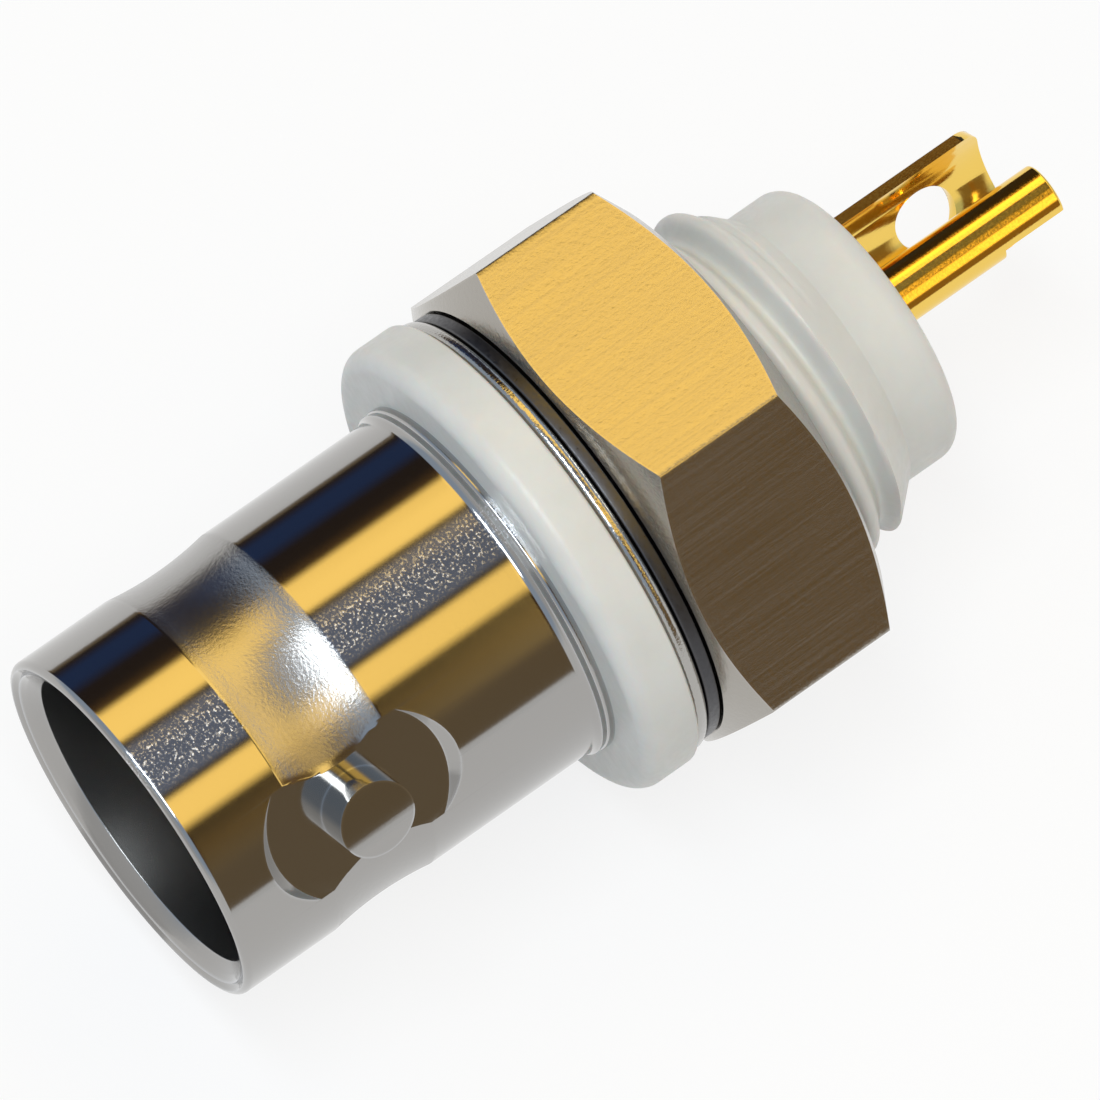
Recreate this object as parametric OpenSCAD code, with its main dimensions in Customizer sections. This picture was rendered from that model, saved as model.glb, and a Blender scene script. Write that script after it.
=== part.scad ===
// Bayonet coaxial panel jack with an insulating bushing, washers and a hex nut.
// It lies on one nut flat and the bushing's flange, with its mating mouth towards -Y.
// Every piece is drawn along +Z from the mouth (z = 0) and then laid down by lie().

/* [Bayonet shell] */
// Outer radius of the barrel
barrel_r = 4.8; // [4.6:0.05:4.9]
// Radius of the mating bore
mating_r = 4.06; // [3.9:0.02:4.15]
// Depth of the mating bore
mating_depth = 8.6; // [7.5:0.1:9]
// Barrel length from the mouth to the bushing's flange
barrel_len = 10.9; // [10.4:0.1:11.5]
// Thickness of the shell's wall behind the mating bore
web_t = 1.6; // [1.2:0.1:2]
// Length of the lead-in bevel inside the mouth
lead_in_len = 0.45; // [0.2:0.05:0.8]
// Radial width of the lead-in bevel
lead_in_w = 0.42; // [0.2:0.02:0.5]
// Radius of the rounded outer edge of the mouth
mouth_edge_r = 0.16; // [0.05:0.01:0.25]
// Length of the collar at the back of the barrel
collar_len = 0.3; // [0.2:0.05:0.6]
// How far the collar stands out from the barrel
collar_h = 0.14; // [0.05:0.01:0.25]

/* [Bayonet lugs] */
// Diameter of a lug
lug_d = 2.0; // [1.8:0.05:2.2]
// Radius from the axis to the ends of the lugs
lug_tip_r = 5.5; // [5.2:0.05:5.7]
// Distance of the lugs from the mouth
lug_z = 4.2; // [3.8:0.05:4.8]
// Angle of the first lug round the axis, above the horizontal on the +X side
lug_angle = 27; // [0:1:90]
// Distance from the axis to the flat floor that is milled round a lug
lug_floor_r = 4.5; // [4.4:0.02:4.6]
// Diameter of the milled floor
lug_floor_d = 4.95; // [4.4:0.05:5.2]
// Outward slope of the wall round the milled floor
lug_wall_slope = 0.28; // [0.1:0.02:0.4]
// Width of the band that is milled round the barrel between the lugs
band_w = 2.9; // [2.4:0.1:3.4]
// Depth of that band at its middle
band_depth = 0.12; // [0.06:0.01:0.2]

/* [Shell stem] */
// Outer radius of the stem that passes through the bushing
stem_r = 3.25; // [3.1:0.05:3.4]
// How far the stem's end is recessed in the bushing's nose
stem_recess = 0.2; // [0.1:0.05:0.6]
// Width of the chamfer on the stem's end
stem_chamfer = 0.2; // [0.1:0.05:0.3]

/* [Insulating bushing] */
// Radius of the flange
flange_r = 6.35; // [6.1:0.05:6.6]
// Thickness of the flange
flange_t = 1.5; // [1.2:0.1:2.5]
// Radius of the flange's rounded front edge
flange_edge_r = 0.5; // [0.2:0.05:0.8]
// Radius of the flange's rounded back edge
flange_back_r = 0.12; // [0.05:0.01:0.3]
// Outer radius of the threaded sleeve
thread_r = 4.7625; // [4.6:0.05:4.9]
// Length of the threaded sleeve behind the flange, up to its cone
thread_len = 7.3; // [7:0.1:9]
// Length of the cone at the end of the thread
cone_len = 1.0; // [0.4:0.05:1.2]
// Radius of the unthreaded nose
nose_r = 3.85; // [3.7:0.05:4]
// Length of the nose behind the cone
nose_len = 1.7; // [1.4:0.05:2.5]
// Radius of the rounded end of the nose
nose_edge_r = 0.6; // [0.2:0.05:0.6]

/* [Washers and nut] */
// Outer radius of the flat washer
washer_r = 6.2; // [5.8:0.05:6.3]
// Thickness of the flat washer
washer_t = 0.4; // [0.3:0.05:0.8]
// Radius of the flat washer's rolled outer edge
washer_edge_r = 0.16; // [0.05:0.01:0.19]
// Outer radius of the toothed lock washer
lock_r = 6.12; // [5.8:0.02:6.3]
// Thickness of the lock washer over its teeth
lock_t = 0.45; // [0.4:0.05:0.8]
// Radial width of the lock washer's ring
lock_ring_w = 0.62; // [0.5:0.02:0.8]
// Thickness of one tooth
tooth_t = 0.24; // [0.18:0.02:0.3]
// Width of one tooth
tooth_w = 1.15; // [0.9:0.05:1.4]
// Twist of one tooth out of the ring's plane
tooth_tilt = 8; // [4:1:9]
// Number of teeth
tooth_count = 12; // [8:1:14]
// Distance across the flats of the nut
nut_af = 12.7; // [12.5:0.05:13]
// Thickness of the nut
nut_t = 4.85; // [3:0.05:5]
// Slope of the nut's corner chamfers, from the nut's face
nut_chamfer_angle = 30; // [20:1:40]
// How far inside the flats the chamfers start on the nut's faces
nut_face_inset = 0.2; // [0.1:0.02:0.4]
// Width of the countersink at each end of the nut's bore
nut_countersink = 0.35; // [0.2:0.05:0.6]

/* [Contacts and insulators] */
// Outer radius of the contact's socket end
socket_r = 1.05; // [0.95:0.01:1.15]
// Radius of the hole that takes the plug's pin
socket_bore_r = 0.69; // [0.66:0.01:0.75]
// Depth of the pin hole
socket_depth = 5.2; // [4:0.1:6]
// Width of a slot in the socket
slot_w = 0.2; // [0.1:0.02:0.26]
// Length of the slots
slot_len = 3.4; // [2.5:0.1:4]
// How far the socket's end lies behind the face of the front insulator
socket_recess = 0.3; // [0.1:0.05:0.6]
// Outer radius of the solder cup
cup_r = 0.775; // [0.7:0.005:0.85]
// Radius of the cup's wire hole
cup_bore_r = 0.5; // [0.4:0.02:0.6]
// Depth of the cup's wire hole
cup_depth = 3.8; // [3:0.1:4.4]
// Length of the side notch in the cup
cup_notch_len = 1.8; // [1:0.1:2.2]
// Distance of the notch's flat from the cup's axis
cup_notch_off = 0.3; // [0.1:0.05:0.5]
// Direction of the notch round the axis
cup_notch_angle = -57; // [-90:1:0]
// How far the cup stands out behind the bushing
cup_out = 5.4; // [4.5:0.1:6.5]
// Radius of the front insulator's nose
insulator_r = 2.4; // [2.3:0.02:2.5]
// Distance from the mouth to the front insulator's face
insulator_z = 5.0; // [4.8:0.1:5.6]
// Radius of the small edges at the front insulator's face
insulator_edge_r = 0.12; // [0.05:0.01:0.2]
// Thickness of the front insulator's flange
insulator_flange_t = 1.0; // [0.6:0.1:1.4]
// Distance from the front insulator to the contact's shoulder
shoulder_gap = 0.6; // [0.4:0.1:1]
// Length of the contact's shoulder
shoulder_len = 0.8; // [0.5:0.1:1.2]
// Height of the contact's shoulder over its socket end
shoulder_h = 0.3; // [0.2:0.05:0.4]
// Outer radius of the ground terminal's tube
ground_r = 2.55; // [2.45:0.01:2.7]
// Wall of the ground terminal
ground_wall = 0.35; // [0.25:0.01:0.45]
// Width of the ground tongue as an angle round the axis
tongue_angle = 80; // [70:1:95]
// Direction of the ground tongue round the axis
tongue_dir = 211; // [180:1:260]
// How far the tongue stands out behind the bushing
tongue_out = 5.0; // [4:0.1:6]
// Radius of the tongue's rounded corners
tongue_corner_r = 0.5; // [0.2:0.05:0.8]
// Diameter of the wire hole in the tongue
wire_hole_d = 1.7; // [1.2:0.05:1.8]
// Distance of the wire hole's centre from the tongue's tip
wire_hole_from_tip = 1.95; // [1.5:0.05:2.5]

/* [Fits] */
// Running clearance of the nut on the sleeve
nut_clear = 0.05; // [0.02:0.01:0.1]
// Clearance of both washers on the sleeve
washer_clear = 0.09; // [0.05:0.01:0.1]
// Clearance between pieces that are pushed together
seat_clear = 0.01; // [0.005:0.005:0.02]
// Room round the socket for its fingers to spring open
finger_room = 0.1; // [0.05:0.01:0.2]

/* [Hidden] */

$fn = 96;
eps = 0.01;

// Stations along the axis, from the mouth
flange_z = barrel_len;
washer_z = flange_z + flange_t;
lock_z = washer_z + washer_t;
nut_z = lock_z + lock_t;
thread_end_z = washer_z + thread_len;
nose_z = thread_end_z + cone_len;
bushing_end_z = nose_z + nose_len;
stem_end_z = bushing_end_z - stem_recess;
cup_end_z = bushing_end_z + cup_out;
tongue_end_z = bushing_end_z + tongue_out;
socket_z = insulator_z + socket_recess;

// The widest thing that touches the ground sets the height of the axis
axis_h = max(flange_r, nut_af / 2);
whole_len = max(cup_end_z, tongue_end_z);

// The shoulder inside the shell where the two insulators and the ground tube meet
insulator_seat_z = mating_depth + web_t;
ground_z = insulator_seat_z + insulator_flange_t;
ground_bore_r = ground_r - ground_wall;
shoulder_z = ground_z + shoulder_gap;
shoulder_end_z = shoulder_z + shoulder_len;
shoulder_r = socket_r + shoulder_h;

// A 2D slab from radius r0 to r1 and from z0 to z1, with its outer corners rounded
module slab(r0, r1, z0, z1, front = 0, back = 0) {
    difference() {
        translate([r0, z0]) square([r1 - r0, z1 - z0]);
        if (front > 0) corner_cut(r1, z0, front, 1);
        if (back > 0) corner_cut(r1, z1, back, -1);
    }
}

// What rounding takes off an outer corner at (r, z); dir points into the slab
module corner_cut(r, z, rad, dir) {
    difference() {
        translate([r - rad, dir > 0 ? z - eps : z - rad]) square([rad + eps, rad + eps]);
        translate([r - rad, z + dir * rad]) circle(rad);
    }
}

// Lays a piece that is drawn along +Z down along +Y, centred over the origin
module lie() {
    translate([0, -whole_len / 2, axis_h]) rotate([-90, 0, 0]) children();
}

// Turns children from the +X side to an angle above the horizontal
module at_angle(a) {
    rotate([0, 0, -a]) children();
}

// A lug: a round stud, rooted inside the wall, whose end follows a cylinder about the axis
module lug() {
    intersection() {
        translate([(mating_r + lug_floor_r) / 2, 0, 0]) rotate([0, 90, 0])
            cylinder(d = lug_d, h = lug_tip_r);
        cylinder(r = lug_tip_r, h = 2 * lug_d, center = true);
    }
}

// The flat floor and sloping wall that a hollow mill leaves round a lug
module lug_pocket() {
    wall_h = lug_tip_r - lug_floor_r;
    translate([lug_floor_r, 0, 0]) rotate([0, 90, 0])
        cylinder(d1 = lug_floor_d,
                 d2 = lug_floor_d + 2 * wall_h * lug_wall_slope / (barrel_r - lug_floor_r),
                 h = wall_h);
}

// The form cutter for the band: a torus whose inner side cuts a hollow arc of band_w by band_depth
module band_cut() {
    form_r = (band_w * band_w / 4 + band_depth * band_depth) / (2 * band_depth);
    rotate_extrude() translate([barrel_r - band_depth + form_r, lug_z]) circle(form_r);
}

module shell_body() {
    difference() {
        rotate_extrude() union() {
            slab(0, barrel_r, 0, barrel_len, front = mouth_edge_r);
            slab(0, barrel_r + collar_h, barrel_len - collar_len, barrel_len, front = collar_h);
            slab(0, stem_r, barrel_len - eps, stem_end_z);
        }
        // mating bore with its lead-in bevel
        translate([0, 0, -eps]) cylinder(r = mating_r, h = mating_depth + eps);
        translate([0, 0, -eps])
            cylinder(r1 = mating_r + lead_in_w + eps * lead_in_w / lead_in_len, r2 = mating_r,
                     h = lead_in_len + eps);
        // bore for the front insulator, and the wider one from the back
        cylinder(r = insulator_r + seat_clear, h = stem_end_z);
        translate([0, 0, insulator_seat_z])
            cylinder(r = ground_r + seat_clear, h = stem_end_z);
        // chamfer on the stem's end
        translate([0, 0, stem_end_z - stem_chamfer]) difference() {
            cylinder(r = stem_r + eps, h = stem_chamfer + eps);
            cylinder(r1 = stem_r, r2 = stem_r - stem_chamfer - eps, h = stem_chamfer + eps);
        }
        band_cut();
        for (side = [0, 180]) at_angle(lug_angle + side) translate([0, 0, lug_z]) lug_pocket();
    }
}

module shell() {
    color("silver") lie() union() {
        shell_body();
        for (side = [0, 180]) at_angle(lug_angle + side) translate([0, 0, lug_z]) lug();
    }
}

module bushing() {
    color("whitesmoke") lie() difference() {
        rotate_extrude() union() {
            slab(0, flange_r, flange_z, washer_z, front = flange_edge_r, back = flange_back_r);
            slab(0, thread_r, washer_z - eps, thread_end_z);
            polygon([[0, thread_end_z - eps], [thread_r, thread_end_z - eps],
                     [thread_r, thread_end_z], [nose_r, nose_z], [0, nose_z]]);
            slab(0, nose_r, nose_z - eps, bushing_end_z, back = nose_edge_r);
        }
        translate([0, 0, flange_z - eps])
            cylinder(r = stem_r + seat_clear, h = bushing_end_z - flange_z + 2 * eps);
    }
}

module flat_washer() {
    color("gainsboro") lie() difference() {
        rotate_extrude()
            slab(0, washer_r, washer_z, lock_z, front = washer_edge_r, back = washer_edge_r);
        translate([0, 0, washer_z - eps])
            cylinder(r = thread_r + washer_clear, h = washer_t + 2 * eps);
    }
}

// One tooth, twisted about its own radial line
module lock_tooth() {
    root_r = lock_r - lock_ring_w;
    tip_r = thread_r + washer_clear;
    rotate([tooth_tilt, 0, 0]) translate([tip_r, -tooth_w / 2, -tooth_t / 2])
        cube([root_r - tip_r + lock_ring_w / 3, tooth_w, tooth_t]);
}

module lock_washer() {
    ring_t = lock_t - tooth_w * sin(tooth_tilt) / 2;
    color("dimgray") lie() translate([0, 0, lock_z + lock_t / 2]) union() {
        difference() {
            cylinder(r = lock_r, h = ring_t, center = true);
            cylinder(r = lock_r - lock_ring_w, h = lock_t, center = true);
        }
        for (i = [0 : tooth_count - 1]) rotate([0, 0, i * 360 / tooth_count]) lock_tooth();
    }
}

module hex_nut() {
    corner_r = nut_af / 2 / cos(30);
    face_r = nut_af / 2 - nut_face_inset;
    waist_r = face_r + nut_t / 2 / tan(nut_chamfer_angle);
    bore_r = thread_r + nut_clear;
    color("darkkhaki") lie() translate([0, 0, nut_z]) difference() {
        intersection() {
            cylinder(r = corner_r, h = nut_t, $fn = 6);
            // two cones, base to base, take the corners off at both faces
            rotate_extrude() polygon([[0, 0], [face_r, 0], [waist_r, nut_t / 2], [face_r, nut_t],
                                      [0, nut_t]]);
        }
        translate([0, 0, -eps]) cylinder(r = bore_r, h = nut_t + 2 * eps);
        translate([0, 0, -eps])
            cylinder(r1 = bore_r + nut_countersink + eps, r2 = bore_r, h = nut_countersink + eps);
        translate([0, 0, nut_t - nut_countersink])
            cylinder(r1 = bore_r, r2 = bore_r + nut_countersink + eps, h = nut_countersink + eps);
    }
}

module front_insulator() {
    color("ivory") lie() difference() {
        rotate_extrude() union() {
            slab(0, insulator_r, insulator_z, insulator_seat_z, front = insulator_edge_r);
            slab(0, ground_r, insulator_seat_z, ground_z);
        }
        translate([0, 0, insulator_z - eps])
            cylinder(r = socket_r + finger_room, h = ground_z - insulator_z + 2 * eps);
        // entry bevel
        translate([0, 0, insulator_z - eps])
            cylinder(r1 = socket_r + finger_room + insulator_edge_r + eps, r2 = socket_r + finger_room,
                     h = insulator_edge_r + eps);
    }
}

module rear_insulator() {
    color("white") lie() difference() {
        translate([0, 0, ground_z])
            cylinder(r = ground_bore_r - seat_clear, h = bushing_end_z - ground_z);
        translate([0, 0, ground_z - eps])
            cylinder(r = cup_r + seat_clear, h = bushing_end_z - ground_z + 2 * eps);
        // pocket that holds the contact's shoulder
        translate([0, 0, ground_z - eps])
            cylinder(r = shoulder_r + seat_clear, h = shoulder_end_z - ground_z + eps);
    }
}

module centre_contact() {
    color("gold") lie() difference() {
        union() {
            translate([0, 0, socket_z])
                cylinder(r = socket_r, h = shoulder_z + eps - socket_z);
            translate([0, 0, shoulder_z]) cylinder(r = shoulder_r, h = shoulder_len);
            translate([0, 0, shoulder_z]) cylinder(r = cup_r, h = cup_end_z - shoulder_z);
        }
        // socket for the plug's pin, split by crossing slots
        translate([0, 0, socket_z - eps]) cylinder(r = socket_bore_r, h = socket_depth + eps);
        for (a = [45, 135]) rotate([0, 0, a])
            translate([-slot_w / 2, -2 * socket_r, socket_z - eps])
                cube([slot_w, 4 * socket_r, slot_len + eps]);
        // solder cup with its side notch
        translate([0, 0, cup_end_z - cup_depth]) cylinder(r = cup_bore_r, h = cup_depth + eps);
        at_angle(cup_notch_angle)
            translate([cup_notch_off, -2 * cup_r, cup_end_z - cup_notch_len])
                cube([2 * cup_r, 4 * cup_r, cup_notch_len + eps]);
    }
}

// The outline of the tongue as seen along its own radial line, from the tube's end
module tongue_outline(tip) {
    half_w = ground_r * sin(tongue_angle / 2);
    c = tongue_corner_r;
    translate([-half_w, -eps]) square([2 * half_w, tip - c + eps]);
    translate([-half_w + c, 0]) square([2 * (half_w - c), tip]);
    for (side = [-1, 1]) translate([side * (half_w - c), tip - c]) circle(c);
}

// A tube whose wall is cut away behind the stem's end, all but the tongue
module ground_terminal() {
    tip = tongue_end_z - stem_end_z;
    color("gold") lie() difference() {
        translate([0, 0, ground_z]) cylinder(r = ground_r, h = tongue_end_z - ground_z);
        translate([0, 0, ground_z - eps])
            cylinder(r = ground_bore_r, h = tongue_end_z - ground_z + 2 * eps);
        at_angle(tongue_dir) translate([0, 0, stem_end_z]) difference() {
            translate([-2 * ground_r, -2 * ground_r, 0])
                cube([4 * ground_r, 4 * ground_r, tip + eps]);
            rotate([90, 0, 90]) linear_extrude(3 * ground_r) tongue_outline(tip);
        }
        at_angle(tongue_dir) translate([0, 0, tongue_end_z - wire_hole_from_tip])
            rotate([0, 90, 0]) cylinder(d = wire_hole_d, h = 2 * ground_r);
    }
}

shell();
bushing();
flat_washer();
lock_washer();
hex_nut();
front_insulator();
rear_insulator();
centre_contact();
ground_terminal();
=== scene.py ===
import math

import bmesh
import bpy
from mathutils import Matrix, Vector


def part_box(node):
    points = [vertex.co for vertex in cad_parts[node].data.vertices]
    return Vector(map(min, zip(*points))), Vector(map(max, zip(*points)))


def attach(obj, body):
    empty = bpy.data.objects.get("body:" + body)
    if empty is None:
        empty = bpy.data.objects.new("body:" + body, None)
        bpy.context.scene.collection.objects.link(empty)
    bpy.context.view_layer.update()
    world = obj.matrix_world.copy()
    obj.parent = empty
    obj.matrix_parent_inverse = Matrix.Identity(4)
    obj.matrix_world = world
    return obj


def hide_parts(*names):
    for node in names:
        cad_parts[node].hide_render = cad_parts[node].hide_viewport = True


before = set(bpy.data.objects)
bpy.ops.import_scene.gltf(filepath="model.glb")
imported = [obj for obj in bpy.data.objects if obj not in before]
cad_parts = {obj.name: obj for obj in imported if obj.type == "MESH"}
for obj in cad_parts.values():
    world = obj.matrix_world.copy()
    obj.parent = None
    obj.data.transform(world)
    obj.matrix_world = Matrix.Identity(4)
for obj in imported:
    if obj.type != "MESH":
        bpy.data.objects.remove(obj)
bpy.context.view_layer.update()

MM = 0.001
SEGMENTS = 192

# ---------------------------------------------------------------- places, from the frame
# The connector's axis runs along +Y at height AXIS_Z. Stations are distances behind the mouth.
BOX = {name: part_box(name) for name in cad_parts}
MOUTH_Y = BOX["shell"][0].y
AXIS_Z = (BOX["bushing"][0].z + BOX["bushing"][1].z) / 2


def span(node):
    """The stations where a node starts and ends."""
    return BOX[node][0].y - MOUTH_Y, BOX[node][1].y - MOUTH_Y


def radius_of(node):
    """The outer radius of a round node."""
    return (BOX[node][1].x - BOX[node][0].x) / 2


STEM_END = span("shell")[1]
FLANGE_AT, BUSHING_END = span("bushing")
WASHER_AT, LOCK_AT = span("flat_washer")
LOCK_END = span("lock_washer")[1]
NUT_AT, NUT_END = span("hex_nut")
FACE_AT, INSULATOR_END = span("front_insulator")
CONTACT_AT, CUP_END = span("centre_contact")
GROUND_AT, TONGUE_END = span("ground_terminal")
FLANGE_R = radius_of("bushing")
WASHER_R = radius_of("flat_washer")
LOCK_R = radius_of("lock_washer")
CONTACT_R = radius_of("centre_contact")
NUT_HALF = (BOX["hex_nut"][1].z - BOX["hex_nut"][0].z) / 2

# ---------------------------------------------------------------- sizes the frame's boxes don't give
SEAT_GAP = 0.01 * MM

# the shell: barrel, mouth, collar and stem
BARREL_R = 4.8 * MM
BORE_R = 4.06 * MM
BORE_DEPTH = 8.6 * MM
WEB_END = 10.2 * MM  # the back of the web between the bore and the stem
LEAD_IN = 0.45 * MM  # the depth and the width of the bevel inside the mouth
LEAD_IN_W = 0.42 * MM
MOUTH_EDGE = 0.16 * MM
COLLAR_LEN = 0.3 * MM
COLLAR_H = 0.14 * MM
STEM_R = 3.25 * MM
STEM_CHAMFER = 0.2 * MM

# the two bayonet lugs, the round pockets they stand in, and the band between the pockets
LUG_R = 1.0 * MM
LUG_TIP_R = 5.5 * MM
LUG_AT = 4.2 * MM
LUG_ANGLE = math.radians(27)
POCKET_FLOOR_R = 4.5 * MM  # the flat floor's distance from the axis
POCKET_R = 2.475 * MM  # the pocket's own radius at its floor
POCKET_SLOPE = 0.28 / 0.3  # how much wider it gets for its height
BAND_W = 2.9 * MM
BAND_DEPTH = 0.12 * MM

# the bushing's thread, cone and nose
THREAD_R = 4.7625 * MM
THREAD_PITCH = 25.4 / 24 * MM
THREAD_DEPTH = 0.5 * MM
THREAD_PHASE = 0.866  # where a crest passes angle 0, as a share of the pitch
CONE_AT = WASHER_AT + 7.3 * MM
NOSE_AT = CONE_AT + 1.0 * MM
NOSE_R = 3.85 * MM

# the loose fits of what goes over the thread
NUT_GAP = 0.05 * MM
WASHER_GAP = 0.09 * MM

# the insulators and the contact, with its slotted socket, shoulder and solder cup
INSULATOR_R = 2.4 * MM
SOCKET_R = 1.05 * MM
SOCKET_BORE_R = 0.69 * MM
SOCKET_DEPTH = 5.2 * MM
SLOT_W = 0.2 * MM
SLOT_LEN = 3.4 * MM
FINGER_ROOM = 0.1 * MM
SHOULDER_AT = INSULATOR_END + 0.6 * MM
SHOULDER_END = SHOULDER_AT + 0.8 * MM
CUP_R = 0.775 * MM
CUP_BORE_R = 0.5 * MM
CUP_DEPTH = 3.8 * MM
CUP_NOTCH = 1.8 * MM
CUP_NOTCH_OFF = 0.3 * MM  # how far from the axis the notch begins
CUP_NOTCH_ANGLE = math.radians(-57)

# the ground terminal's tube and tongue
GROUND_R = 2.55 * MM
GROUND_WALL = 0.35 * MM
TONGUE_ANGLE = math.radians(211)
TONGUE_HALF = GROUND_R * math.sin(math.radians(40))  # half its width, for 80 degrees of the tube
TONGUE_CORNER = 0.5 * MM
WIRE_HOLE_R = 0.85 * MM
WIRE_HOLE_AT = TONGUE_END - 1.95 * MM

# the colour in which the room shows the floor beyond its edge
FLOOR_TONE = (0.955, 0.96, 0.96)


# ---------------------------------------------------------------- mesh helpers
def place(angle, radius, along):
    """A point at an angle above +X, a radius from the axis and a distance behind the mouth."""
    return Vector((radius * math.cos(angle), MOUTH_Y + along, AXIS_Z + radius * math.sin(angle)))


def new_object(name, bm):
    """Turns a bmesh into an object with outward normals."""
    bmesh.ops.recalc_face_normals(bm, faces=bm.faces)
    mesh = bpy.data.meshes.new(name)
    bm.to_mesh(mesh)
    bm.free()
    made = bpy.data.objects.new(name, mesh)
    bpy.context.scene.collection.objects.link(made)
    return made


def finish_piece(piece, body, node, mat, sharp=35):
    """Shades a piece, with edges kept from a sharp angle up, and puts it on its body in place of a node."""
    for face in piece.data.polygons:
        face.use_smooth = True
    piece.data.set_sharp_from_angle(angle=math.radians(sharp))
    weighted = piece.modifiers.new("weighted", "WEIGHTED_NORMAL")
    weighted.weight = 90
    weighted.keep_sharp = True
    apply_modifiers(piece)
    piece.data.materials.clear()
    piece.data.materials.append(mat)
    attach(piece, body)
    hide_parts(node)


def arc(centre_r, centre_at, radius, start, end, steps):
    """Profile points (radius, station) on a circle, from one angle to another in degrees."""
    points = []
    for i in range(steps + 1):
        a = math.radians(start + (end - start) * i / steps)
        points.append((centre_r + radius * math.cos(a), centre_at + radius * math.sin(a)))
    return points


def soften(points, radius, steps=3):
    """Rounds every corner of a closed profile that turns more than 15 degrees and isn't on the axis."""
    out = []
    count = len(points)
    for i, point in enumerate(points):
        here = Vector(point)
        before = Vector(points[i - 1]) - here
        after = Vector(points[(i + 1) % count]) - here
        turn = before.angle(-after) if before.length and after.length else 0
        if turn < math.radians(15) or point[0] == 0:
            out.append(point)
            continue
        cut = min(radius * math.tan(turn / 2), before.length * 0.4, after.length * 0.4)
        start = here + before.normalized() * cut
        end = here + after.normalized() * cut
        for k in range(steps + 1):
            t = k / steps
            out.append(tuple(start * (1 - t) ** 2 + here * 2 * t * (1 - t) + end * t ** 2))
    return out


def bridge(bm, a, b):
    """Faces between two rings, or between a ring and a single point on the axis."""
    count = max(len(a), len(b))
    for i in range(count):
        j = (i + 1) % count
        if len(a) == 1 and len(b) == 1:
            return
        if len(a) == 1:
            bm.faces.new((a[0], b[j], b[i]))
        elif len(b) == 1:
            bm.faces.new((a[i], a[j], b[0]))
        else:
            bm.faces.new((a[i], a[j], b[j], b[i]))


def turned(bm, rings, angles):
    """A closed body of rings. Each ring is a function that gives (radius, station) at an angle."""
    made = []
    for ring in rings:
        if ring(0)[0] == 0:
            made.append([bm.verts.new(place(0, *ring(0)))])
        else:
            made.append([bm.verts.new(place(a, *ring(a))) for a in angles])
    for a, b in zip(made, made[1:] + made[:1]):
        bridge(bm, a, b)


def even(segments):
    """Angles spaced evenly round the axis."""
    return [2 * math.pi * i / segments for i in range(segments)]


def revolve(bm, profile, segments=SEGMENTS):
    """Turns a closed profile of (radius, station) points round the axis."""
    turned(bm, [lambda a, p=p: p for p in profile], even(segments))


def turned_object(name, profile, segments=SEGMENTS):
    """A new object from a closed profile turned round the axis."""
    bm = bmesh.new()
    revolve(bm, profile, segments)
    return new_object(name, bm)


def boolean(piece, cutter, operation):
    """Applies an exact boolean and removes the cutter."""
    modifier = piece.modifiers.new("cut", "BOOLEAN")
    modifier.operation = operation
    modifier.solver = "EXACT"
    modifier.object = cutter
    apply_modifiers(piece)
    bpy.data.objects.remove(cutter)


def apply_modifiers(piece):
    """Bakes a piece's modifiers into its mesh."""
    depsgraph = bpy.context.evaluated_depsgraph_get()
    mesh = bpy.data.meshes.new_from_object(piece.evaluated_get(depsgraph))
    piece.modifiers.clear()
    old = piece.data
    piece.data = mesh
    bpy.data.meshes.remove(old)


def radial_solid(name, angle, along, outline, heights):
    """A closed prism along a radial line. The outline gives (across, along) points at each height."""
    bm = bmesh.new()
    out = Vector((math.cos(angle), 0, math.sin(angle)))
    side = Vector((-math.sin(angle), 0, math.cos(angle)))
    centre = Vector((0, MOUTH_Y + along, AXIS_Z))
    rings = []
    for height in heights:
        rings.append([
            bm.verts.new(centre + out * height + side * u + Vector((0, v, 0)))
            for u, v in outline(height)
        ])
    for a, b in zip(rings, rings[1:]):
        bridge(bm, a, b)
    bm.faces.new(rings[0])
    bm.faces.new(rings[-1])
    return new_object(name, bm)


def round_outline(radius, segments=96):
    """A circle whose radius is a function of the height."""
    return lambda height: [(radius(height) * math.cos(a), radius(height) * math.sin(a))
                           for a in even(segments)]


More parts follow.
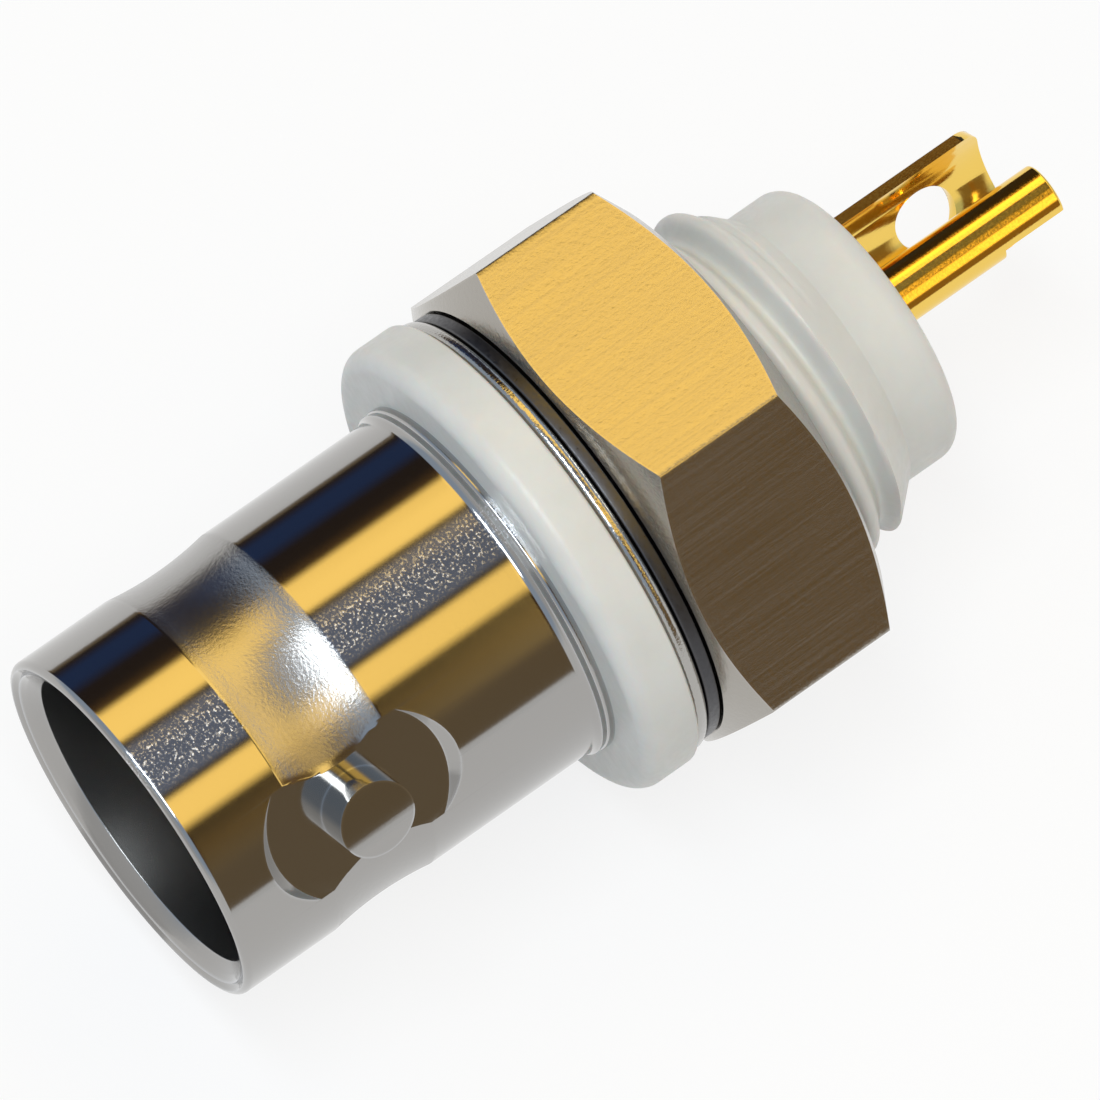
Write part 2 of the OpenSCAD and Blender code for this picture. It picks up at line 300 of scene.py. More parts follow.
# ---------------------------------------------------------------- shell
def shell_profile():
    """The shell's closed section. Points a crisp step beside each edge keep the plain walls' shading true."""
    form_r = (BAND_W ** 2 / 4 + BAND_DEPTH ** 2) / (2 * BAND_DEPTH)
    form_centre = BARREL_R - BAND_DEPTH + form_r
    swing = math.degrees(math.asin(BAND_W / 2 / form_r))
    collar_at = FLANGE_AT - COLLAR_LEN
    fillet = 0.25 * MM
    lip = 0.08 * MM
    crisp = 0.05 * MM
    outer = arc(BARREL_R - MOUTH_EDGE, MOUTH_EDGE, MOUTH_EDGE, -90, 0, 5)
    outer += [(BARREL_R, MOUTH_EDGE + crisp), (BARREL_R, LUG_AT - BAND_W / 2 - crisp)]
    outer += arc(form_centre, LUG_AT, form_r, 180 + swing, 180 - swing, 12)
    outer += [(BARREL_R, LUG_AT + BAND_W / 2 + crisp), (BARREL_R, collar_at - fillet - crisp)]
    outer += arc(BARREL_R + fillet, collar_at - fillet, fillet, 180, 124, 5)
    outer += arc(BARREL_R + COLLAR_H - lip, collar_at + 2 * lip, lip, -60, 0, 3)
    outer += [(BARREL_R + COLLAR_H, FLANGE_AT)]
    inner = [
        (STEM_R, FLANGE_AT),
        (STEM_R, STEM_END - STEM_CHAMFER),
        (STEM_R - STEM_CHAMFER, STEM_END),
        (GROUND_R + SEAT_GAP, STEM_END),
        (GROUND_R + SEAT_GAP, WEB_END),
        (INSULATOR_R + SEAT_GAP, WEB_END),
        (INSULATOR_R + SEAT_GAP, BORE_DEPTH),
        (BORE_R, BORE_DEPTH),
        (BORE_R, LEAD_IN),
        (BORE_R + LEAD_IN_W, 0),
    ]
    return outer + soften(inner, 0.05 * MM, 2)


def make_shell(mat):
    """The turned shell, with its two pockets cut and a lug set in each."""
    fine = 256
    piece = turned_object("barrel", shell_profile(), fine)
    reach = 1.2 * MM
    root = 0.2 * MM
    for angle in (LUG_ANGLE, LUG_ANGLE + math.pi):
        wall = round_outline(lambda height: POCKET_R + (height - POCKET_FLOOR_R) * POCKET_SLOPE)
        pocket = radial_solid("pocket", angle, LUG_AT, wall, (POCKET_FLOOR_R, POCKET_FLOOR_R + reach))
        boolean(piece, pocket, "DIFFERENCE")
        stud = round_outline(lambda height: LUG_R)
        lug = radial_solid("lug", angle, LUG_AT, stud, (POCKET_FLOOR_R - root, LUG_TIP_R + reach))
        tip = [(MM, 0), (LUG_TIP_R, 0), (LUG_TIP_R, 2 * LUG_AT), (MM, 2 * LUG_AT)]
        boolean(lug, turned_object("lug_end", tip, fine), "INTERSECT")
        boolean(piece, lug, "UNION")
    finish_piece(piece, "connector", "shell", mat, sharp=25)


# ---------------------------------------------------------------- bushing with its thread
def thread_radius(at, angle):
    """Outer radius of the sleeve at a station and an angle, with the right-hand thread cut in it."""
    groove_form = 1.3
    limit = THREAD_R
    if at > CONE_AT:
        limit = THREAD_R + (NOSE_R - THREAD_R) * min(1, (at - CONE_AT) / (NOSE_AT - CONE_AT))
    phase = (at / THREAD_PITCH + angle / (2 * math.pi) - THREAD_PHASE) % 1
    groove = THREAD_DEPTH * (0.5 - 0.5 * math.cos(2 * math.pi * phase)) ** groove_form
    return max(min(limit, THREAD_R - groove), NOSE_R)


def make_bushing(mat):
    """Flange, threaded sleeve, cone and nose, as one body of rings."""
    edge = 0.5 * MM
    back = 0.12 * MM
    nose_edge = 0.6 * MM
    rings_per_turn = 16
    bore = STEM_R + SEAT_GAP
    front = [(bore, FLANGE_AT)]
    front += arc(FLANGE_R - edge, FLANGE_AT + edge, edge, -90, 0, 12)
    front += arc(FLANGE_R - back, WASHER_AT - back, back, 0, 90, 4)
    steps = math.ceil((NOSE_AT - WASHER_AT) / (THREAD_PITCH / rings_per_turn))
    sleeve = [WASHER_AT + (NOSE_AT - WASHER_AT) * k / steps for k in range(steps + 1)]
    nose = arc(NOSE_R - nose_edge, BUSHING_END - nose_edge, nose_edge, 0, 90, 10)
    nose += [(bore, BUSHING_END)]
    rings = [lambda a, p=p: p for p in front]
    rings += [lambda a, at=at: (thread_radius(at, a), at) for at in sleeve]
    rings += [lambda a, p=p: p for p in nose]
    bm = bmesh.new()
    turned(bm, rings, even(SEGMENTS))
    finish_piece(new_object("insulating_bushing", bm), "connector", "bushing", mat, sharp=50)


# ---------------------------------------------------------------- washers and nut
def make_flat_washer(mat):
    """A plain ring with rounded outer edges."""
    edge = 0.16 * MM
    inner = THREAD_R + WASHER_GAP
    profile = [(inner, WASHER_AT)]
    profile += arc(WASHER_R - edge, WASHER_AT + edge, edge, -90, 0, 5)
    profile += arc(WASHER_R - edge, LOCK_AT - edge, edge, 0, 90, 5)
    profile += [(inner, LOCK_AT)]
    piece = turned_object("panel_washer", profile)
    finish_piece(piece, "washers", "flat_washer", mat, sharp=50)


def make_lock_washer(mat):
    """A ring with a crown of teeth inside it, each twisted about its own radial line."""
    teeth = 12
    width = 1.15 * MM
    thick = 0.24 * MM
    tilt = math.radians(8)
    overlap = 0.1 * MM
    ring_in = LOCK_R - 0.62 * MM
    middle = (LOCK_AT + LOCK_END) / 2
    half = (LOCK_END - LOCK_AT) / 2 - width * math.sin(tilt) / 4
    bm = bmesh.new()
    revolve(bm, soften([(ring_in, middle - half), (LOCK_R, middle - half),
                        (LOCK_R, middle + half), (ring_in, middle + half)], 0.05 * MM))
    tip = THREAD_R + WASHER_GAP
    root = ring_in + overlap
    for i in range(teeth):
        bar = bmesh.ops.create_cube(bm, size=1)["verts"]
        size = Matrix.Diagonal((root - tip, thick, width, 1))
        shift = Matrix.Translation(((root + tip) / 2, 0, 0))
        twist = Matrix.Rotation(-tilt, 4, "X")
        turn = Matrix.Rotation(2 * math.pi * i / teeth, 4, "Y")
        move = Matrix.Translation((0, MOUTH_Y + middle, AXIS_Z))
        bmesh.ops.transform(bm, matrix=move @ turn @ twist @ shift @ size, verts=bar)
        edges = {e for v in bar for e in v.link_edges}
        bmesh.ops.bevel(bm, geom=list(edges), offset=0.03 * MM, segments=2, affect="EDGES")
    finish_piece(new_object("star_washer", bm), "washers", "lock_washer", mat)


def hexagon_radius(angle):
    """Outer radius of the nut at an angle: a flat, or the small round at a corner."""
    rounding = 0.12 * MM
    off_flat = (angle % (math.pi / 3)) - math.pi / 6
    off_corner = math.pi / 6 - abs(off_flat)
    centre = (NUT_HALF - rounding) / math.cos(math.pi / 6)
    tangent = math.atan2(rounding / 2, centre + rounding * math.cos(math.pi / 6))
    if off_corner > tangent:
        return NUT_HALF / math.cos(off_flat)
    return centre * math.cos(off_corner) + math.sqrt(rounding ** 2 - (centre * math.sin(off_corner)) ** 2)


def make_nut(mat):
    """The nut, whose chamfers end on rings that follow the curve where a cone meets the flats."""
    face_r = NUT_HALF - 0.2 * MM
    slope = math.tan(math.radians(30))
    bore = THREAD_R + NUT_GAP
    sink = 0.35 * MM
    per_flat = 32

    def chamfer(angle):
        """Where the cone meets the side: the radius, and how far from the nut's end."""
        radius = hexagon_radius(angle)
        return radius, (radius - face_r) * slope

    rings = [
        lambda a: (face_r, NUT_AT),
        lambda a: (chamfer(a)[0], NUT_AT + chamfer(a)[1]),
        lambda a: (chamfer(a)[0], NUT_END - chamfer(a)[1]),
        lambda a: (face_r, NUT_END),
        lambda a: (bore + sink, NUT_END),
        lambda a: (bore, NUT_END - sink),
        lambda a: (bore, NUT_AT + sink),
        lambda a: (bore + sink, NUT_AT),
    ]
    # the angles crowd together at the corners, where the outline turns
    angles = []
    for flat in range(6):
        for k in range(per_flat):
            off = math.sin(math.pi / 2 * (2 * k / per_flat - 1))
            angles.append(math.pi / 3 * (flat + 0.5 + off / 2))
    bm = bmesh.new()
    turned(bm, rings, angles)
    finish_piece(new_object("panel_nut", bm), "nut", "hex_nut", mat, sharp=12)


# ---------------------------------------------------------------- contact, ground terminal, insulators
def box_cutter(size, shift, turn, along):
    """A box that is shifted out from the axis, turned about it and set at a station."""
    bm = bmesh.new()
    bmesh.ops.create_cube(bm, size=1)
    matrix = (Matrix.Translation((0, MOUTH_Y + along, AXIS_Z)) @ Matrix.Rotation(-turn, 4, "Y")
              @ Matrix.Translation(shift) @ Matrix.Diagonal((*size, 1)))
    bmesh.ops.transform(bm, matrix=matrix, verts=bm.verts)
    return new_object("cutter", bm)


def make_contact(mat):
    """The contact's turned body, with two slots across its socket and a notch in its cup."""
    piece = turned_object("contact", soften([
        (0, CONTACT_AT + SOCKET_DEPTH),
        (SOCKET_BORE_R, CONTACT_AT + SOCKET_DEPTH),
        (SOCKET_BORE_R, CONTACT_AT),
        (SOCKET_R, CONTACT_AT),
        (SOCKET_R, SHOULDER_AT),
        (CONTACT_R, SHOULDER_AT),
        (CONTACT_R, SHOULDER_END),
        (CUP_R, SHOULDER_END),
        (CUP_R, CUP_END),
        (CUP_BORE_R, CUP_END),
        (CUP_BORE_R, CUP_END - CUP_DEPTH),
        (0, CUP_END - CUP_DEPTH),
    ], 0.07 * MM), 96)
    for turn in (math.pi / 4, 3 * math.pi / 4):
        slot = box_cutter((SLOT_W, 2 * SLOT_LEN, 4 * SOCKET_R), (0, 0, 0), turn, CONTACT_AT)
        boolean(piece, slot, "DIFFERENCE")
    size = (2 * CUP_R, 2 * CUP_NOTCH, 4 * CUP_R)
    notch = box_cutter(size, (CUP_NOTCH_OFF + CUP_R, 0, 0), CUP_NOTCH_ANGLE, CUP_END)
    boolean(piece, notch, "DIFFERENCE")
    finish_piece(piece, "connector", "centre_contact", mat, sharp=40)


def tongue_outline():
    """The tongue's outline as (across, along) points, from the tube's end to its round corners."""
    corner = TONGUE_CORNER
    centre_at = TONGUE_END - STEM_END - corner
    points = [(-TONGUE_HALF, 0), (TONGUE_HALF, 0)]
    for side, start in ((1, 0), (-1, 90)):
        points += arc(side * (TONGUE_HALF - corner), centre_at, corner, start, start + 90, 10)
    return points


def make_ground(mat):
    """The ground terminal: a tongue cut from a long tube, and the tube's pressed-in length before it."""
    inner = GROUND_R - GROUND_WALL
    through = (MM, 4 * MM)
    long_end = TONGUE_END + MM
    piece = turned_object("ground_tongue", [(inner, STEM_END), (GROUND_R, STEM_END),
                                            (GROUND_R, long_end), (inner, long_end)])
    outline = tongue_outline()
    strip = radial_solid("outline", TONGUE_ANGLE, STEM_END, lambda height: outline, through)
    boolean(piece, strip, "INTERSECT")
    wire_hole = round_outline(lambda height: WIRE_HOLE_R, 64)
    boolean(piece, radial_solid("hole", TONGUE_ANGLE, WIRE_HOLE_AT, wire_hole, through), "DIFFERENCE")
    rim = piece.modifiers.new("rim", "BEVEL")
    rim.width = 0.05 * MM
    rim.segments = 2
    rim.limit_method = "ANGLE"
    rim.angle_limit = math.radians(50)
    apply_modifiers(piece)
    whole = bmesh.new()
    whole.from_mesh(piece.data)
    revolve(whole, soften([(inner, GROUND_AT), (GROUND_R, GROUND_AT),
                           (GROUND_R, STEM_END), (inner, STEM_END)], 0.03 * MM))
    bpy.data.objects.remove(piece)
    finish_piece(new_object("ground_terminal_dressed", whole), "connector",
                 "ground_terminal", mat, sharp=40)


def make_insulators(mat):
    """The insulator round the contact's socket, and the one behind its shoulder."""
    hole = SOCKET_R + FINGER_ROOM
    front = turned_object("mouth_insulator", soften([
        (hole, FACE_AT),
        (INSULATOR_R, FACE_AT),
        (INSULATOR_R, WEB_END),
        (GROUND_R, WEB_END),
        (GROUND_R, INSULATOR_END),
        (hole, INSULATOR_END),
    ], 0.12 * MM))
    finish_piece(front, "connector", "front_insulator", mat)
    outer = GROUND_R - GROUND_WALL - SEAT_GAP
    rear = turned_object("tail_insulator", soften([
        (CONTACT_R + SEAT_GAP, INSULATOR_END),
        (outer, INSULATOR_END),
        (outer, BUSHING_END),
        (CUP_R + SEAT_GAP, BUSHING_END),
        (CUP_R + SEAT_GAP, SHOULDER_END),
        (CONTACT_R + SEAT_GAP, SHOULDER_END),
    ], 0.06 * MM))
    finish_piece(rear, "connector", "rear_insulator", mat)


# ---------------------------------------------------------------- materials
class Graph:
    """Short ways to build a node tree."""

    def __init__(self, tree):
        self.tree = tree

    def node(self, kind, **settings):
        made = self.tree.nodes.new(kind)
        for key, value in settings.items():
            setattr(made, key, value)
        return made

    def link(self, start, end):
        self.tree.links.new(start, end)

    def math(self, operation, *values, clamp=False):
        made = self.node("ShaderNodeMath", operation=operation, use_clamp=clamp)
        for i, value in enumerate(values):
            if isinstance(value, (int, float)):
                made.inputs[i].default_value = value
            else:
                self.link(value, made.inputs[i])
        return made.outputs[0]

    def product(self, first, *others):
        for other in others:
            first = self.math("MULTIPLY", first, other)
        return first

    def total(self, first, *others):
        for other in others:
            first = self.math("ADD", first, other)
        return first

    def rest(self, value):
        """What is left of 1."""
        return self.math("SUBTRACT", 1, value)

    def past(self, value, place, blur):
        """0 before a place, and 1 from a blur's width after it."""
        return self.math("DIVIDE", self.math("SUBTRACT", value, place), blur, clamp=True)

    def short_of(self, value, place, blur):
        """1 until a blur's width before a place, and 0 after it."""
        return self.math("DIVIDE", self.math("SUBTRACT", place, value), blur, clamp=True)

    def split(self, vector):
        """The x, y and z of a vector."""
        made = self.node("ShaderNodeSeparateXYZ")
        self.link(vector, made.inputs[0])
        return made.outputs

    def noise(self, vector, detail=2.0, rough=0.5):
        made = self.node("ShaderNodeTexNoise")
        self.link(vector, made.inputs["Vector"])
        made.inputs["Scale"].default_value = 1
        made.inputs["Detail"].default_value = detail
        made.inputs["Roughness"].default_value = rough
        return made.outputs["Fac"]

    def ramp(self, value, *stops):
        """A colour ramp from (position, colour or grey) stops."""
        made = self.node("ShaderNodeValToRGB")
        self.link(value, made.inputs[0])
        while len(made.color_ramp.elements) < len(stops):
            made.color_ramp.elements.new(1)
        for element, (position, colour) in zip(made.color_ramp.elements, stops):
            element.position = position
            if isinstance(colour, (int, float)):
                colour = (colour, colour, colour)
            element.color = (*colour, 1)
        return made.outputs[0]

    def mix(self, factor, start, end):
        """One colour, turning into another as the factor goes from 0 to 1. Either may be a socket."""
        made = self.node("ShaderNodeMix", data_type="RGBA")
        self.link(factor, made.inputs["Factor"])
        for name, colour in (("A", start), ("B", end)):
            if isinstance(colour, tuple):
                made.inputs[name].default_value = (*colour, 1)
            else:
                self.link(colour, made.inputs[name])
        return made.outputs["Result"]


class Look(Graph):
    """A principled material and the patterns that follow a turned part."""

    def __init__(self, name, base, metallic, roughness):
        self.material = bpy.data.materials.new(name)
        self.material.use_nodes = True
        super().__init__(self.material.node_tree)
        self.shader = self.tree.nodes["Principled BSDF"]
        self.shader.inputs["Base Color"].default_value = (*base, 1)
        self.shader.inputs["Metallic"].default_value = metallic
        self.shader.inputs["Roughness"].default_value = roughness
        self.base = base
        self.bumps = None

    def about_axis(self):
        """The point with its origin on the connector's axis at the mouth, in millimetres."""
        coordinates = self.node("ShaderNodeTexCoord")
        moved = self.node("ShaderNodeVectorMath", operation="SUBTRACT")
        self.link(coordinates.outputs["Object"], moved.inputs[0])
        moved.inputs[1].default_value = (0, MOUTH_Y, AXIS_Z)
        scaled = self.node("ShaderNodeVectorMath", operation="SCALE")
        self.link(moved.outputs[0], scaled.inputs[0])
        scaled.inputs["Scale"].default_value = 1 / MM
        return scaled.outputs[0]

    def off_axis(self):
        """The point's distance from the connector's axis, in millimetres."""
        x, y, z = self.split(self.about_axis())
        return self.math("SQRT", self.total(self.product(x, x), self.product(z, z)))

    def stretched(self, size, along=1.0):
        """Coordinates for a pattern of a size in mm, stretched along the axis by a factor."""
        scaled = self.node("ShaderNodeVectorMath", operation="MULTIPLY")
        self.link(self.about_axis(), scaled.inputs[0])
        scaled.inputs[1].default_value = (1 / size, 1 / size / along, 1 / size)
        return scaled.outputs[0]

    def lathe_lines(self, size, around, radial=1.0):
        """Coordinates for lines round the axis of a width in mm, stretched around and radially by factors."""
        x, y, z = self.split(self.about_axis())
        # x and z keep the lines whole all the way round, as an angle wouldn't
        join = self.node("ShaderNodeCombineXYZ")
        self.link(self.product(x, 1 / size / around), join.inputs[0])
        self.link(self.total(self.product(y, 1 / size), self.product(self.off_axis(), 1 / size / radial)),
                  join.inputs[1])
        self.link(self.product(z, 1 / size / around), join.inputs[2])
        return join.outputs[0]

    def between(self, start, end, blur=0.05):
        """1 between two stations and 0 outside them. Stations are in metres and the blur in mm."""
        x, y, z = self.split(self.about_axis())
        return self.product(self.past(y, start / MM, blur), self.short_of(y, end / MM, blur))

    def beyond(self, radius, blur=0.05):
        """1 outside a radius about the axis and 0 inside it. The radius is in metres and the blur in mm."""
        return self.past(self.off_axis(), radius / MM, blur)

    def beside(self, angle, height, blur=0.05):
        """1 below a height along a radial line, on either side of the axis, and 0 above it."""
        x, y, z = self.split(self.about_axis())
        along = self.total(self.product(x, math.cos(angle)), self.product(z, math.sin(angle)))
        return self.short_of(self.math("ABSOLUTE", along), height / MM, blur)

    def sector(self, start, end, blur):
        """1 between two angles above +X about the axis and 0 outside them, all in degrees."""
        x, y, z = self.split(self.about_axis())
        angle = self.math("DEGREES", self.math("ARCTAN2", z, x))
        return self.product(self.past(angle, start, blur), self.short_of(angle, end, blur))

    def bump(self, height, depth, weight=None):
        """Adds relief. The depth is in mm, and a weight limits where it shows."""
        made = self.node("ShaderNodeBump")
        made.inputs["Distance"].default_value = depth * MM
        self.link(height, made.inputs["Height"])
        if weight is not None:
            self.link(weight, made.inputs["Strength"])
        if self.bumps is not None:
            self.link(self.bumps, made.inputs["Normal"])
        self.bumps = made.outputs[0]
        self.link(self.bumps, self.shader.inputs["Normal"])

    def vary_roughness(self, value, low, high):
        """Spreads the middle of a noise over a range of roughness."""
        spread = self.node("ShaderNodeMapRange")
        self.link(value, spread.inputs["Value"])
        spread.inputs["From Min"].default_value = 0.3
        spread.inputs["From Max"].default_value = 0.7
        spread.inputs["To Min"].default_value = low
        spread.inputs["To Max"].default_value = high
        self.link(spread.outputs[0], self.shader.inputs["Roughness"])

    def vary_colour(self, value, other, amount=1.0):
        """Mixes the base colour towards another one where the value is high."""
        factor = self.math("MULTIPLY", value, amount, clamp=True)
        self.link(self.mix(factor, self.base, other), self.shader.inputs["Base Color"])

    def edge_wear(self, radius=0.12):
        """How sharply the surface turns near a point: 0 on plain faces and about 1 on edges."""
        bevel = self.node("ShaderNodeBevel", samples=4)
        bevel.inputs["Radius"].default_value = radius * MM
        plain = self.node("ShaderNodeNewGeometry")
        dot = self.node("ShaderNodeVectorMath", operation="DOT_PRODUCT")
        self.link(bevel.outputs[0], dot.inputs[0])
        self.link(plain.outputs["Normal"], dot.inputs[1])
        return self.math("MULTIPLY", self.rest(dot.outputs["Value"]), 6, clamp=True)


def barrel_nickel():
    """Bright plating: satin on the band, turned in the bevel, duller in the bore, and along the top, in the
    sector where the key lamp glints, rough specks whose colour is lightened as painted glints.
    """
    look = Look("bright_nickel", (0.37, 0.362, 0.35), 1, 0.1)
    outside = look.beyond((BORE_R + POCKET_FLOOR_R) / 2)
    grain = look.noise(look.stretched(0.06), 2)
    mottle = look.noise(look.stretched(0.09), 3, 0.6)
    sparkle = look.ramp(look.noise(look.stretched(0.07), 2), (0.5, 0), (0.72, 1))
    rings = look.noise(look.lathe_lines(0.03, around=120, radial=1e6), 1)
    bevel_rings = look.noise(look.lathe_lines(0.05, around=90), 1)
    # the band goes without the pocket floors and lugs that cross it
    band = look.product(look.between(LUG_AT - BAND_W / 2, LUG_AT + BAND_W / 2),
                        look.beside(LUG_ANGLE, POCKET_FLOOR_R - 0.04 * MM), outside)
    # the sector from 65 to 83 degrees is where the key lamp glints: rough specks there, and a painted
    # highlight at each speck
    key_glint_sector = look.product(outside, look.sector(65, 83, 4), look.rest(band))
    glints = look.product(sparkle, key_glint_sector)
    bevel = look.product(look.between(-MM, LEAD_IN + 0.1 * MM), look.rest(look.beyond(BARREL_R - 0.2 * MM)))
    roughness = look.total(0.085, look.product(band, 0.13), look.product(grain, 0.03),
                           look.product(glints, 0.24), look.product(look.rest(outside), 0.15))
    look.link(roughness, look.shader.inputs["Roughness"])
    look.bump(grain, 0.0002)
    look.bump(rings, 0.0001)
    look.bump(sparkle, 0.0005, key_glint_sector)
    look.bump(mottle, 0.006, band)
    look.bump(bevel_rings, 0.003, bevel)
    # painted highlight: the colour lightens towards a pale blue at the glinting specks, and also at worn
    # edges
    edge_wear_and_painted_glints = look.math("MAXIMUM", look.product(look.edge_wear(), 0.3), look.product(glints, 0.6))
    look.vary_colour(edge_wear_and_painted_glints, (0.86, 0.9, 0.96))
    return look.material


def nut_nickel():
    """Satin plating over flats that are brushed along the axis."""
    look = Look("satin_nickel", (0.38, 0.36, 0.325), 1, 0.2)
    brushed = look.noise(look.stretched(0.07, along=60), 2, 0.6)
    pebble = look.noise(look.stretched(0.14), 3, 0.6)
    look.vary_roughness(brushed, 0.15, 0.22)
    look.bump(brushed, 0.0014)
    look.bump(pebble, 0.006)
    look.vary_colour(look.edge_wear(), (0.52, 0.49, 0.45), 0.7)
    return look.material


def washer_nickel():
    """Plating over a face with fine turned lines."""
    look = Look("washer_nickel", (0.4, 0.39, 0.37), 1, 0.12)
    turned_lines = look.noise(look.lathe_lines(0.04, around=100), 2)
    grain = look.noise(look.stretched(0.07), 2)
    look.vary_roughness(grain, 0.1, 0.18)
    look.bump(turned_lines, 0.0012)
    look.bump(grain, 0.007)
    look.vary_colour(look.edge_wear(), (0.52, 0.5, 0.47), 0.5)
    return look.material


def spring_steel():
    """Dark, scaly steel, bare at the edges."""
    look = Look("dark_spring_steel", (0.07, 0.07, 0.075), 1, 0.34)
    scale = look.noise(look.stretched(0.12), 4, 0.6)
    look.vary_roughness(scale, 0.26, 0.46)
    look.bump(scale, 0.003)
    look.vary_colour(look.edge_wear(0.08), (0.22, 0.215, 0.21), 0.8)
    return look.material


def gold_plate():
    """Thin gold over drawn brass."""
    look = Look("gold_plate", (0.88, 0.6, 0.13), 1, 0.1)
    grain = look.noise(look.stretched(0.06), 2)
    drawn = look.noise(look.stretched(0.05, along=30), 1)
    look.vary_roughness(grain, 0.07, 0.13)
    look.bump(grain, 0.0004)
    look.bump(drawn, 0.0002)
    look.vary_colour(look.edge_wear(0.04), (0.95, 0.7, 0.24), 0.5)
    return look.material


def white_nylon():
    """Moulded nylon: a little uneven, with a matt skin that light sinks into."""
    look = Look("white_nylon", (0.59, 0.595, 0.57), 0, 0.38)
    cloud = look.noise(look.stretched(1.6), 3)
    skin = look.noise(look.stretched(0.22), 3, 0.55)
    look.shader.inputs["Subsurface Weight"].default_value = 0.25
    look.shader.inputs["Subsurface Scale"].default_value = 0.4 * MM
    look.vary_roughness(skin, 0.3, 0.46)
    look.bump(cloud, 0.05)
    look.bump(skin, 0.006)
    look.vary_colour(look.ramp(cloud, (0.35, 0), (0.7, 1)), (0.53, 0.535, 0.51), 0.6)
    return look.material


def insulator_white():
    """A waxy white plastic with turned lines."""
    look = Look("waxy_insulator", (0.8, 0.795, 0.775), 0, 0.5)
    lathe = look.noise(look.lathe_lines(0.05, around=80), 2)
    cloud = look.noise(look.stretched(0.8), 3)
    look.shader.inputs["Subsurface Weight"].default_value = 0.3
    look.shader.inputs["Subsurface Scale"].default_value = 0.3 * MM
    look.vary_roughness(lathe, 0.42, 0.58)
    look.bump(lathe, 0.003)
    look.vary_colour(cloud, (0.72, 0.715, 0.69), 0.5)
    return look.material


# ---------------------------------------------------------------- build
make_shell(barrel_nickel())
make_bushing(white_nylon())
make_flat_washer(washer_nickel())
make_lock_washer(spring_steel())
make_nut(nut_nickel())
gold = gold_plate()
make_contact(gold)
make_ground(gold)
make_insulators(insulator_white())


# ---------------------------------------------------------------- floor, lights and camera
def direction(cross, along):
    """A unit vector at an angle in degrees above +X in the cross-section, with a share along Y."""
    flat = math.sqrt(1 - along * along)
    a = math.radians(cross)
    return Vector((flat * math.cos(a), along, flat * math.sin(a)))


def make_floor():
    """A round white table. The camera and mirrors see it nearly white, and it keeps the shadow."""
    radius = 0.1
    away_from_camera = 0.07
    below_nut = 0.01 * MM
    glow_share = 0.78
    bm = bmesh.new()
    bmesh.ops.create_circle(bm, cap_ends=True, segments=128, radius=radius)
    floor = new_object("floor", bm)
    floor.location = (-away_from_camera, 0, -below_nut)
    look = Look("table", (0.6, 0.61, 0.62), 0, 0.8)
    paper = look.noise(look.stretched(0.5), 3)
    look.bump(paper, 0.002)
    path = look.node("ShaderNodeLightPath")
    seen = look.math("ADD", path.outputs["Is Camera Ray"], path.outputs["Is Glossy Ray"])
    seen = look.math("ADD", seen, path.outputs["Is Transmission Ray"], clamp=True)
    glow = look.node("ShaderNodeEmission")
    glow.inputs["Strength"].default_value = 1.05
    mixed = look.node("ShaderNodeMixShader")
    look.link(look.product(seen, glow_share), mixed.inputs[0])
    look.link(look.shader.outputs[0], mixed.inputs[1])
    look.link(glow.outputs[0], mixed.inputs[2])
    look.link(mixed.outputs[0], look.tree.nodes["Material Output"].inputs["Surface"])
    floor.data.materials.append(look.material)


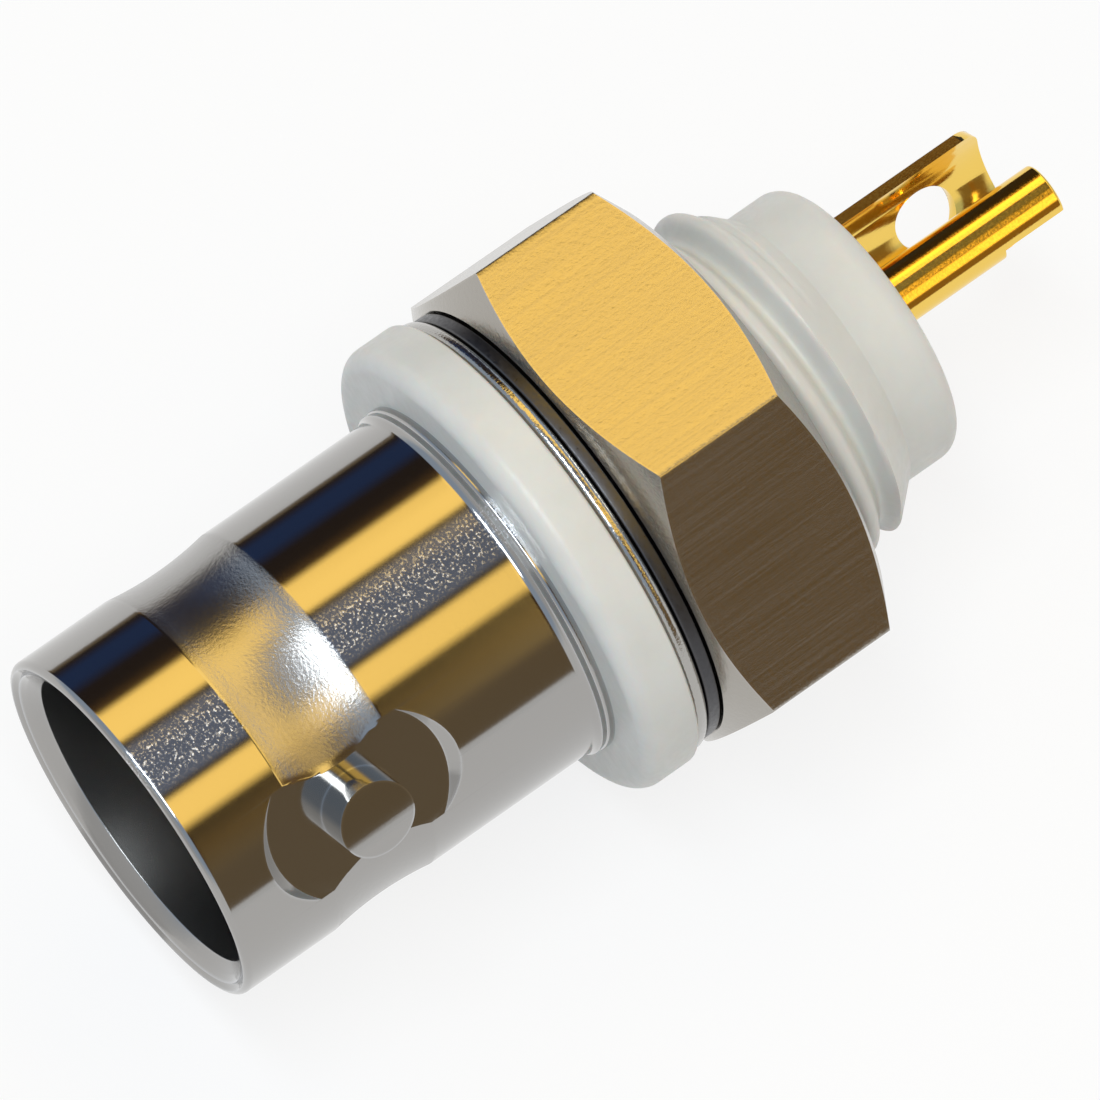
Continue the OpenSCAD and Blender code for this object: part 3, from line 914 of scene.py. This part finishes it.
def make_studio():
    """A pale room with one strip across it that holds warm lamps and dark flags, as a metal mirrors them."""
    world = bpy.data.worlds.new("studio")
    bpy.context.scene.world = world
    world.use_nodes = True
    look = Graph(world.node_tree)
    coordinates = look.node("ShaderNodeTexCoord")
    x, y, z = look.split(coordinates.outputs["Generated"])

    # the strip's colours are given at angles above +X in the cross-section
    first, last = -20, 200
    cross = look.math("DEGREES", look.math("ARCTAN2", z, x))
    share = look.math("DIVIDE", look.math("SUBTRACT", cross, first), last - first)

    def strip(*stops):
        """One run of the strip's colours, from (degrees, colour) stops."""
        return look.ramp(share, *(((degrees - first) / (last - first), colour) for degrees, colour in stops))

    golden, lemon, steel = (2.5, 1.62, 0.38), (2.5, 1.7, 0.5), (0.23, 0.27, 0.37)
    brown, umber, olive = (0.26, 0.14, 0.04), (0.22, 0.16, 0.09), (0.18, 0.15, 0.07)
    rust, coal, soot, peat = (0.17, 0.1, 0.035), (0.05, 0.03, 0.015), (0.09, 0.05, 0.02), (0.12, 0.06, 0.02)
    flag, night = (0.035, 0.024, 0.018), (0.03, 0.055, 0.14)
    # each strip goes: low side, lamp, gap between the lamps, lamp, far side
    narrow = strip(
        (-10, umber), (12, umber), (30, rust), (42, coal),
        (48, golden), (62, golden),
        (66, flag), (70, steel), (100, steel), (105, flag),
        (109, golden), (127, golden),
        (132, peat), (140, flag), (150, flag), (159, night), (170, night), (178, flag), (192, flag),
    )
    wide = strip(
        (-10, brown), (10, brown),
        (17, lemon), (41, lemon),
        (46, olive), (88, olive), (91, flag),
        (96, lemon), (119, lemon),
        (124, soot), (132, flag), (192, flag),
    )
    joined = strip((-10, umber), (36, brown), (50, golden), (126, golden), (136, flag), (192, night))

    # towards the back of the room the lamps first widen and then join
    lamps = look.mix(look.past(y, 0.253, 0.007), narrow, wide)
    lamps = look.mix(look.past(y, 0.31, 0.05), lamps, joined)
    inside = look.product(look.past(y, 0.045, 0.04), look.short_of(y, 0.54, 0.06), look.past(z, -0.24, 0.02))
    # the room itself is pale below and bluish above, and dimmer in front of the mouth
    sky = (0.5, 0.6, 0.74)
    room = look.ramp(z, (0.0, FLOOR_TONE), (0.04, FLOOR_TONE), (0.3, sky), (1.0, sky))
    dim = look.product(look.short_of(y, -0.55, 0.3), look.past(z, -0.1, 0.1))
    shade = look.ramp(z, (0.0, 0.65), (1.0, 0.8))
    room = look.mix(dim, room, shade)
    look.link(look.mix(inside, room, lamps), look.tree.nodes["Background"].inputs["Color"])


def make_lamp(name, towards, distance, across, along, power, colour):
    """A soft rectangular lamp that faces the connector. Its long side lies across the axis."""
    light = bpy.data.lights.new(name, "AREA")
    light.shape = "RECTANGLE"
    light.energy = power
    light.color = colour
    light.size = across
    light.size_y = along
    lamp = bpy.data.objects.new(name, light)
    bpy.context.scene.collection.objects.link(lamp)
    lamp.location = Vector((0, 0, AXIS_Z)) + towards * distance
    side = Vector((0, 1, 0)).cross(towards).normalized()
    lamp.rotation_mode = "QUATERNION"
    lamp.rotation_quaternion = Matrix((side, towards.cross(side), towards)).transposed().to_quaternion()


def make_camera():
    """The photograph's view: azimuth from -Y towards +X, height above the floor, and roll."""
    azimuth = math.radians(62.1)
    elevation = math.radians(59.6)
    roll = math.radians(-10.3)
    distance = 0.38
    aside = 0.97 * MM
    below = 1.0 * MM
    back = Vector((
        math.sin(azimuth) * math.cos(elevation),
        -math.cos(azimuth) * math.cos(elevation),
        math.sin(elevation),
    ))
    level = Vector((0, 0, 1)).cross(back).normalized()
    over = back.cross(level)
    right = level * math.cos(roll) + over * math.sin(roll)
    up = over * math.cos(roll) - level * math.sin(roll)
    target = Vector((0, 0, AXIS_Z)) - right * aside - up * below
    camera = bpy.data.objects.new("camera", bpy.data.cameras.new("camera"))
    bpy.context.scene.collection.objects.link(camera)
    camera.data.sensor_width = 36
    camera.data.lens = 515.7
    camera.location = target + back * distance
    camera.rotation_mode = "QUATERNION"
    camera.rotation_quaternion = Matrix((right, up, back)).transposed().to_quaternion()
    camera.data.clip_start = 0.01
    camera.data.clip_end = 10
    bpy.context.scene.camera = camera
    bpy.context.scene.view_settings.view_transform = "Standard"


make_floor()
make_studio()
make_lamp("key", direction(76, -0.16), distance=0.35, across=0.28, along=0.08, power=0.75,
          colour=(0.9, 0.96, 1))
make_camera()
